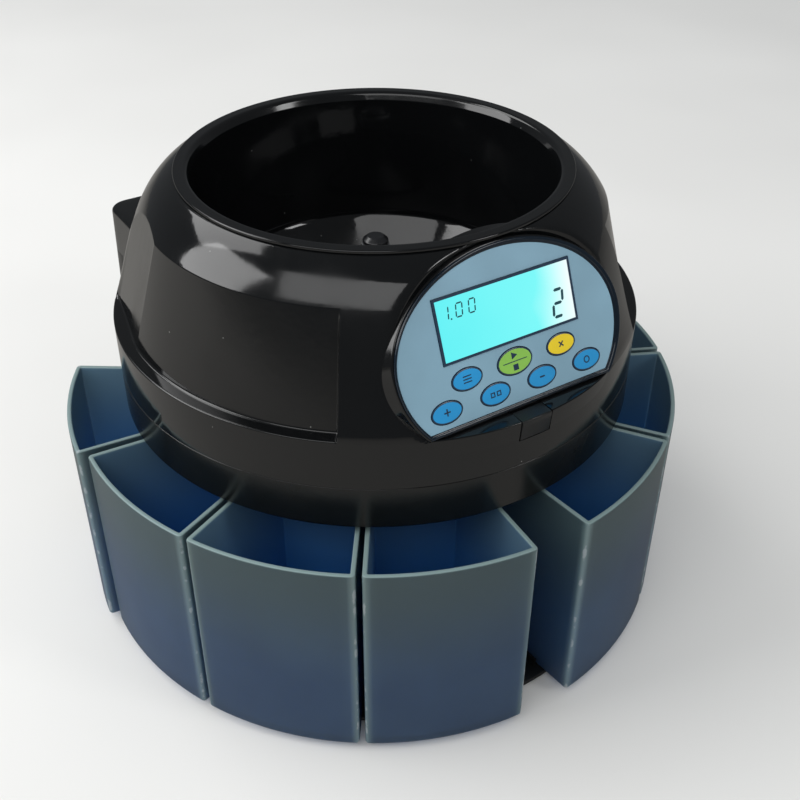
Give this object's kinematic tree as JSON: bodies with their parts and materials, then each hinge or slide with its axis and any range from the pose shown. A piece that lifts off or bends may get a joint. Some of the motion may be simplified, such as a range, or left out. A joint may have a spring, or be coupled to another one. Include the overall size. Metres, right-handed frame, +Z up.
{
  "type": "coin counter",
  "caption": "Desktop coin sorter: open hopper bowl on a domed black head with a tilted control panel, above a ring of pull-out wedge cups and a rear power housing.",
  "frame": {"origin": "centre of the footprint, on the table", "axes": "+X to the right, -Y to the control panel's side, +Z up"},
  "size_m": [0.359, 0.342, 0.2672],
  "materials": {
    "gloss_black_abs": "high gloss moulded ABS",
    "satin_black_abs": "satin moulded ABS",
    "frosted_blue_cup_plastic": "frosted translucent polypropylene",
    "black_rubber": "matt",
    "bright_steel": "zinc plated or ground",
    "gear_brass": "turned",
    "white_acetal": "moulded acetal",
    "cast_aluminium": "satin",
    "silver_blue_label": "printed film, satin",
    "blue_black_bezel": "gloss",
    "lit_display": "lit panel behind a clear window",
    "blue_key": "satin",
    "green_key": "satin",
    "yellow_key": "satin",
    "circuit_board": "solder mask",
    "grey_silicone": "matt"
  },
  "bodies": {
    "machine": {"base_plate": "gloss_black_abs", "base_screw_1": "bright_steel", "base_screw_2": "bright_steel", "base_screw_3": "bright_steel", "base_screw_4": "bright_steel", "rubber_foot_1": "black_rubber", "rubber_foot_2": "black_rubber", "rubber_foot_3": "black_rubber", "rubber_foot_4": "black_rubber", "column_housing": "gloss_black_abs", "sorting_housing": "gloss_black_abs", "sorting_ring": "cast_aluminium", "sensor_board": "circuit_board", "drive_deck": "bright_steel", "drive_motor": "bright_steel", "spindle_housing": "cast_aluminium", "lower_bearing": "bright_steel", "upper_bearing": "bright_steel", "rear_housing": "gloss_black_abs", "hinge_pin_1": "bright_steel", "hinge_pin_2": "bright_steel", "power_inlet": "satin_black_abs", "switch_frame": "satin_black_abs", "transformer": "bright_steel", "power_board": "circuit_board"},
    "disc": {"coin_disc": "satin_black_abs", "disc_cone": "satin_black_abs", "disc_knob": "cast_aluminium", "disc_spindle": "bright_steel", "main_gear": "white_acetal", "spindle_clip": "bright_steel"},
    "pinion": {"motor_shaft": "bright_steel", "motor_pinion": "gear_brass"},
    "cover": {"hopper_cover": "gloss_black_abs", "hopper_bowl": "gloss_black_abs", "panel_bezel": "blue_black_bezel", "panel_label": "silver_blue_label", "display_window": "lit_display", "display_module": "satin_black_abs", "control_board": "circuit_board", "key_mat": "grey_silicone"},
    "latch": {"latch_tab": "satin_black_abs"},
    "rocker": {"switch_rocker": "satin_black_abs"},
    "key_plus": {"key_plus": "blue_key"},
    "key_list": {"key_list": "blue_key"},
    "key_minus": {"key_minus": "blue_key"},
    "key_set": {"key_set": "blue_key"},
    "key_report": {"key_report": "blue_key"},
    "key_start": {"key_start": "green_key"},
    "key_clear": {"key_clear": "yellow_key"},
    "cup_1": {"cup_1": "frosted_blue_cup_plastic"},
    "cup_2": {"cup_2": "frosted_blue_cup_plastic"},
    "cup_3": {"cup_3": "frosted_blue_cup_plastic"},
    "cup_4": {"cup_4": "frosted_blue_cup_plastic"},
    "cup_5": {"cup_5": "frosted_blue_cup_plastic"},
    "cup_6": {"cup_6": "frosted_blue_cup_plastic"},
    "cup_7": {"cup_7": "frosted_blue_cup_plastic"},
    "cup_8": {"cup_8": "frosted_blue_cup_plastic"}
  },
  "joints": [
    {"name": "disc_spin", "type": "hinge", "parent": "machine", "child": "disc", "pos_m": [0, 0.00572, 0.1668], "axis": [0, 0, 1], "continuous": true},
    {"name": "pinion_spin", "type": "hinge", "parent": "machine", "child": "pinion", "pos_m": [0, 0.05072, 0.1463], "axis": [0, 0, 1], "continuous": true},
    {"name": "cover_hinge", "type": "hinge", "parent": "machine", "child": "cover", "pos_m": [0, 0.16702, 0.175], "axis": [-1, 0, 0], "range_deg": [0, 80]},
    {"name": "latch_press", "type": "hinge", "parent": "cover", "child": "latch", "pos_m": [0, -0.13978, 0.17861], "axis": [1, 0, 0], "range_deg": [0, 4], "stiffness_Nm_per_rad": 0.2, "springref_deg": -5.73},
    {"name": "switch_rock", "type": "hinge", "parent": "machine", "child": "rocker", "pos_m": [0.058, 0.16372, 0.07], "axis": [-1, 0, 0], "range_deg": [0, 16]},
    {"name": "key_plus_press", "type": "slide", "parent": "cover", "child": "key_plus", "axis": [0, 0.9239, -0.3827], "range_m": [0, 0.0005], "stiffness_N_per_m": 400, "springref_m": -0.0005},
    {"name": "key_list_press", "type": "slide", "parent": "cover", "child": "key_list", "axis": [0, 0.9239, -0.3827], "range_m": [0, 0.0005], "stiffness_N_per_m": 400, "springref_m": -0.0005},
    {"name": "key_minus_press", "type": "slide", "parent": "cover", "child": "key_minus", "axis": [0, 0.9239, -0.3827], "range_m": [0, 0.0005], "stiffness_N_per_m": 400, "springref_m": -0.0005},
    {"name": "key_set_press", "type": "slide", "parent": "cover", "child": "key_set", "axis": [0, 0.9239, -0.3827], "range_m": [0, 0.0005], "stiffness_N_per_m": 400, "springref_m": -0.0005},
    {"name": "key_report_press", "type": "slide", "parent": "cover", "child": "key_report", "axis": [0, 0.9239, -0.3827], "range_m": [0, 0.0005], "stiffness_N_per_m": 400, "springref_m": -0.0005},
    {"name": "key_start_press", "type": "slide", "parent": "cover", "child": "key_start", "axis": [0, 0.9239, -0.3827], "range_m": [0, 0.0005], "stiffness_N_per_m": 400, "springref_m": -0.0005},
    {"name": "key_clear_press", "type": "slide", "parent": "cover", "child": "key_clear", "axis": [0, 0.9239, -0.3827], "range_m": [0, 0.0005], "stiffness_N_per_m": 400, "springref_m": -0.0005},
    {"name": "cup_1_pull", "type": "slide", "parent": "machine", "child": "cup_1", "axis": [0.3355, -0.9421, 0], "range_m": [0, 0.1]},
    {"name": "cup_2_pull", "type": "slide", "parent": "machine", "child": "cup_2", "axis": [0.7615, -0.6481, 0], "range_m": [0, 0.1]},
    {"name": "cup_3_pull", "type": "slide", "parent": "machine", "child": "cup_3", "axis": [0.9836, -0.1805, 0], "range_m": [0, 0.1]},
    {"name": "cup_4_pull", "type": "slide", "parent": "machine", "child": "cup_4", "axis": [0.9421, 0.3355, 0], "range_m": [0, 0.1]},
    {"name": "cup_5_pull", "type": "slide", "parent": "machine", "child": "cup_5", "axis": [-0.3355, -0.9421, 0], "range_m": [0, 0.1]},
    {"name": "cup_6_pull", "type": "slide", "parent": "machine", "child": "cup_6", "axis": [-0.7615, -0.6481, 0], "range_m": [0, 0.1]},
    {"name": "cup_7_pull", "type": "slide", "parent": "machine", "child": "cup_7", "axis": [-0.9836, -0.1805, 0], "range_m": [0, 0.1]},
    {"name": "cup_8_pull", "type": "slide", "parent": "machine", "child": "cup_8", "axis": [-0.9421, 0.3355, 0], "range_m": [-0.005, 0.095]}
  ],
  "couplings": [
    {"joint": "pinion_spin", "follows": "disc_spin", "ratio": -5}
  ]
}
